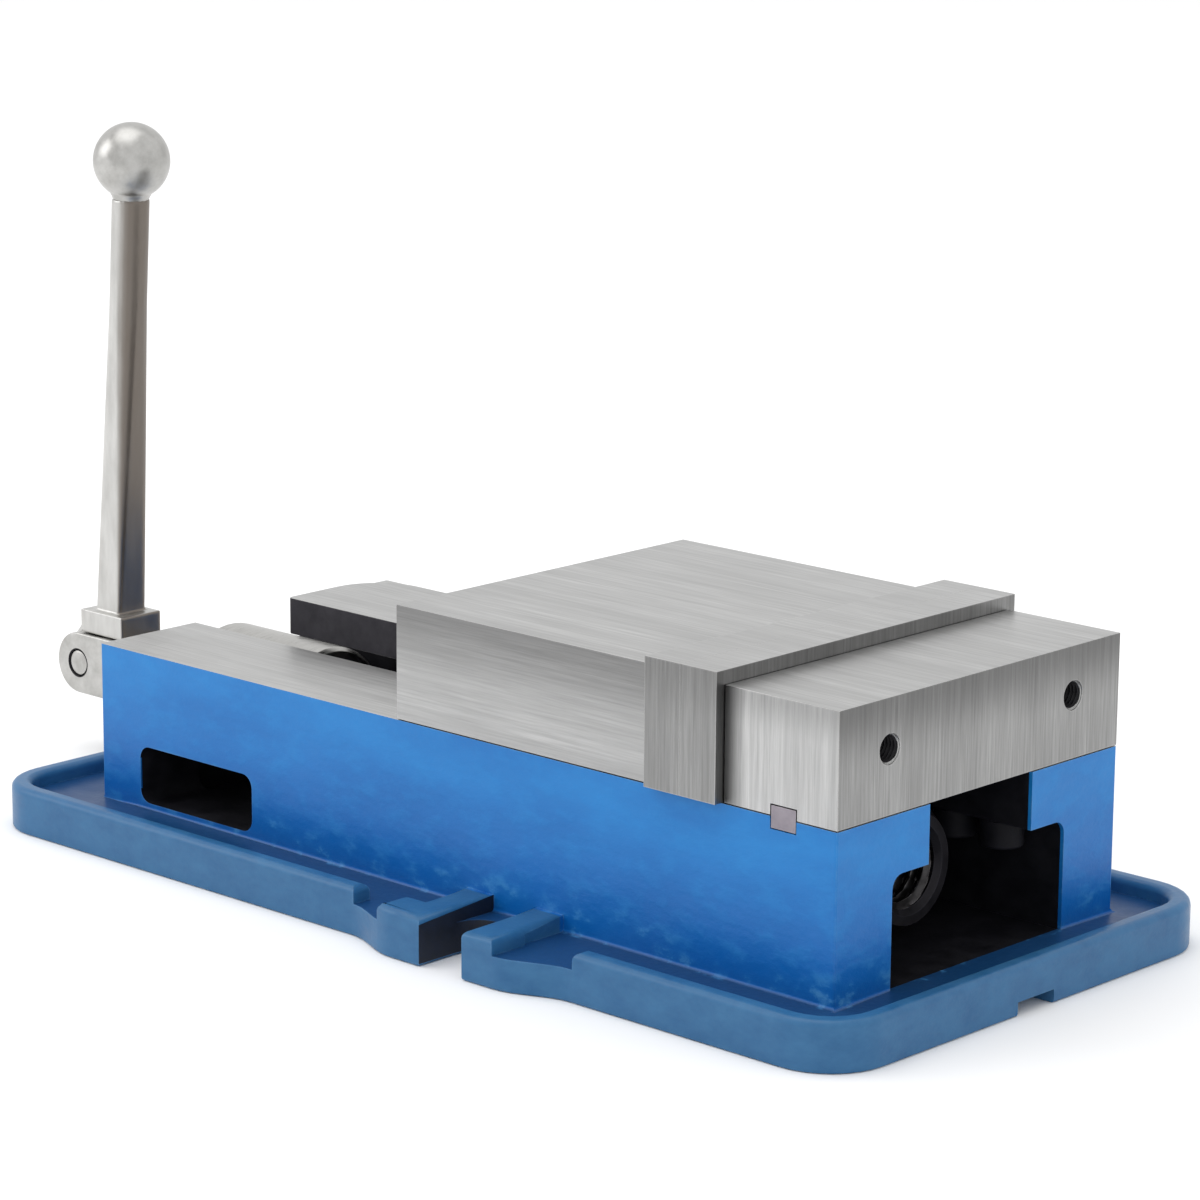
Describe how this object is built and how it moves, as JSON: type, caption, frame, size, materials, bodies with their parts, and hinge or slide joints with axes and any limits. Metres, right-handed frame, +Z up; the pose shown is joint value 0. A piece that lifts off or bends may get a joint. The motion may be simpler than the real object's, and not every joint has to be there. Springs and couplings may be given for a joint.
{
  "type": "milling machine vise",
  "caption": "Lock-down milling vise: rimmed-flange bed with ground rails, fixed jaw, sliding jaw with chip tail, lead screw and folding ball-ended crank handle.",
  "frame": {"origin": "middle of the base's underside", "axes": "+X along the rails towards the fixed jaw, +Y across the rails, +Z up, away from the machine table"},
  "size_m": [0.4971, 0.2268, 0.2609],
  "materials": {
    "blue_paint": "semi-gloss blue paint on a casting, ground bare on the rails",
    "ground_steel": "ground, fine straight lay",
    "turned_steel": "turned",
    "satin_steel": "satin, tumbled",
    "black_oxide": "black oxide",
    "grey_key": "dull grey",
    "brass": "turned"
  },
  "bodies": {
    "vise_base": {"bed": "blue_paint", "fixed_jaw": "ground_steel", "fixed_jaw_plate": "ground_steel", "fixed_plate_screw_near": "black_oxide", "fixed_plate_screw_far": "black_oxide", "fixed_jaw_bolt_near_rear": "black_oxide", "fixed_jaw_bolt_near_front": "black_oxide", "fixed_jaw_bolt_far_rear": "black_oxide", "fixed_jaw_bolt_far_front": "black_oxide", "fixed_jaw_key_near": "grey_key", "fixed_jaw_key_far": "grey_key", "screw_bearing_housing": "turned_steel", "housing_lock_screw": "black_oxide", "thrust_race_rear": "turned_steel"},
    "jaw_carriage": {"movable_jaw": "ground_steel", "movable_jaw_plate": "ground_steel", "movable_plate_screw_near": "black_oxide", "movable_plate_screw_far": "black_oxide", "lock_down_nut": "black_oxide", "lock_half_ball": "turned_steel", "nut_adjusting_screw": "black_oxide"},
    "screw_assembly": {"lead_screw": "turned_steel", "thrust_race_front": "turned_steel", "rear_thrust_washer": "brass", "handle_hub": "satin_steel", "hub_cross_pin": "turned_steel", "handle_pivot_pin": "turned_steel"},
    "roller_cage": {"thrust_roller_cage": "brass"},
    "handle": {"handle_lever": "satin_steel", "ball_knob": "satin_steel"}
  },
  "joints": [
    {"name": "jaw_slide", "type": "slide", "parent": "vise_base", "child": "jaw_carriage", "axis": [-1, 0, 0], "range_m": [0, 0.114]},
    {"name": "screw_turn", "type": "hinge", "parent": "vise_base", "child": "screw_assembly", "pos_m": [-0.1946, 0, 0.038], "axis": [-1, 0, 0], "range_deg": [0, 8210]},
    {"name": "cage_turn", "type": "hinge", "parent": "vise_base", "child": "roller_cage", "pos_m": [-0.1779, 0, 0.038], "axis": [-1, 0, 0], "range_deg": [0, 4105]},
    {"name": "handle_fold", "type": "hinge", "parent": "screw_assembly", "child": "handle", "pos_m": [-0.2695, 0, 0.038], "axis": [0, -1, 0], "range_deg": [0, 90]}
  ],
  "couplings": [
    {"joint": "screw_turn", "follows": "jaw_slide", "rad_per_m": 1256.6},
    {"joint": "cage_turn", "follows": "jaw_slide", "rad_per_m": 628.32}
  ]
}
